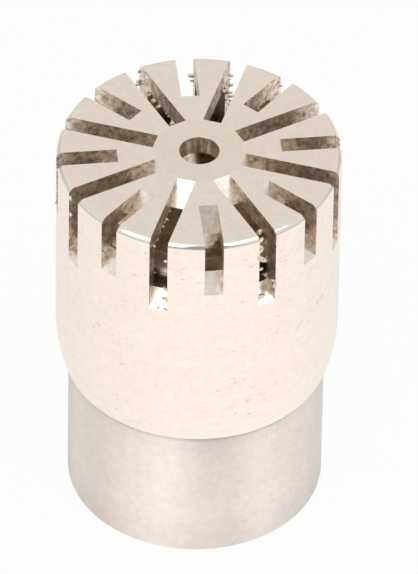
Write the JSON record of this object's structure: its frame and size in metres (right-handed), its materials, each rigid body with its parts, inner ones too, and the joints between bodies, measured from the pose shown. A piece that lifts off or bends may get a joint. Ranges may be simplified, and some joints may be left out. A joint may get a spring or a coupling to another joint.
{
  "type": "condenser microphone capsule",
  "caption": "Small cylindrical measurement condenser microphone capsule with a screwed-on slotted protection grid and an internally threaded rear socket.",
  "frame": {"origin": "centre of the rear rim, in the plane that the capsule stands on", "axes": "+Z along the capsule's axis, out of its front face; +X and +Y across it, with -Y through the middle of one of the grid's short slots"},
  "size_m": [0.007, 0.007, 0.0105],
  "materials": {
    "grid_metal": "satin nickel alloy, lapped front face, brushed side",
    "housing_metal": "satin nickel alloy, finely brushed",
    "foil_metal": "bright stretched foil",
    "ring_metal": "turned, fine tool lines",
    "electrode_metal": "lapped",
    "quartz": "polished fused quartz",
    "spring_steel": "bright spring steel",
    "silver": "drawn silver wire",
    "nut_brass": "turned brass",
    "gilt": "gold plated, polished"
  },
  "bodies": {
    "capsule": {"housing": "housing_metal", "diaphragm": "foil_metal", "slip_washer": "foil_metal", "clamp_ring": "ring_metal", "backplate": "electrode_metal", "insulator": "quartz", "spacer_ring": "spring_steel", "vent_wire": "silver", "spring_washer": "spring_steel", "lock_ring": "ring_metal", "stem_washer": "nut_brass", "stem_nut": "nut_brass", "contact_terminal": "gilt"},
    "grid": {"protection_grid": "grid_metal"}
  },
  "joints": [
    {"name": "grid_unscrew", "type": "slide", "parent": "capsule", "child": "grid", "axis": [0, 0, 1], "range_m": [0, 0.007]}
  ]
}
